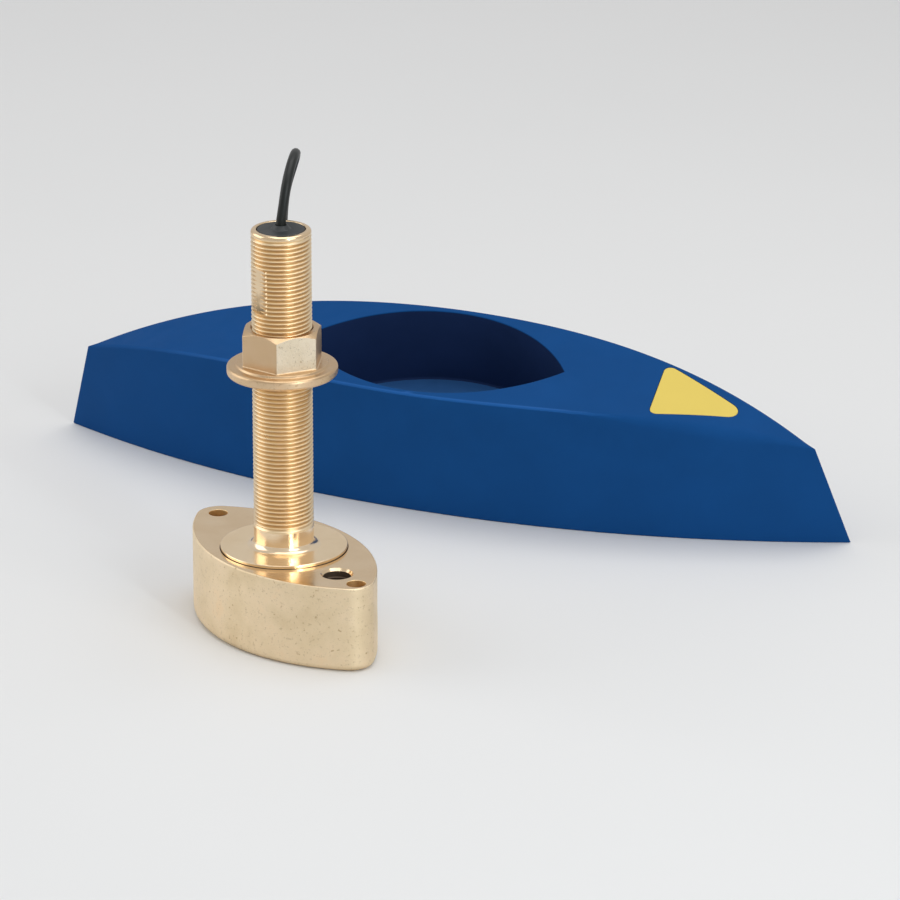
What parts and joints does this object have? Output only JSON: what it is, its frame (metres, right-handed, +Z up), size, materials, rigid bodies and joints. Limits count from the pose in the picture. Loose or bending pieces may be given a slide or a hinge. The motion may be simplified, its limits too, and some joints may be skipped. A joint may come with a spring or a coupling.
{
  "type": "sonar transducer",
  "caption": "Through-hull sonar transducer: boat-shaped bronze housing on a threaded stem with flanged hull nut, coiled cable with connector, and a separate blue fairing block.",
  "frame": {"origin": "centre of the acoustic window's face at the housing's underside, on the stem's axis, at the height of the floor that housing and fairing stand on", "axes": "+Z up the stem, +X along the fairing block towards its direction mark; the housing's long axis lies 30.3 degrees clockwise from +X, seen from above"},
  "size_m": [0.448, 0.4191, 0.241],
  "materials": {
    "cast_bronze": "as-cast bronze with fine pits on the sides, polished on the top faces, pad and stem",
    "blue_urethane": "satin moulded high-impact urethane, deep blue",
    "yellow_mark": "satin yellow inlay",
    "black_rubber": "matte moulded rubber",
    "cable_jacket": "satin black cable jacket",
    "window_urethane": "smooth cast urethane, dark grey",
    "piezo_ceramic": "ground ceramic with silvered faces",
    "cork": "fine-grained cork",
    "potting_compound": "cast potting compound, dull",
    "tinned_copper": "bare tinned copper wire",
    "hook_and_loop": "woven hook-and-loop strap, black",
    "connector_plastic": "moulded black plastic, fine texture",
    "contact_insulator": "smooth moulded plastic, dark grey",
    "gold_plated_brass": "gold-plated contact pin",
    "seal_rubber": "soft red silicone"
  },
  "bodies": {
    "root": {"housing": "cast_bronze", "hull_nut": "cast_bronze", "stem_plug": "black_rubber", "acoustic_window": "window_urethane", "piezo_disc": "piezo_ceramic", "isolation_ring": "cork", "backing_disc": "cork", "encapsulant": "potting_compound", "lead_positive": "tinned_copper", "lead_negative": "tinned_copper", "inner_cable": "cable_jacket", "fairing": "blue_urethane", "direction_mark": "yellow_mark", "cable": "cable_jacket", "cable_coil": "cable_jacket", "cable_tail": "cable_jacket", "coil_tie_1": "hook_and_loop", "coil_tie_2": "hook_and_loop", "connector_boot": "black_rubber", "connector_body": "connector_plastic", "connector_ring": "connector_plastic", "contact_carrier": "contact_insulator", "contact_pin_1": "gold_plated_brass", "contact_pin_2": "gold_plated_brass", "contact_pin_3": "gold_plated_brass", "contact_pin_4": "gold_plated_brass", "contact_pin_5": "gold_plated_brass", "contact_pin_6": "gold_plated_brass", "connector_seal": "seal_rubber"}
  },
  "joints": []
}
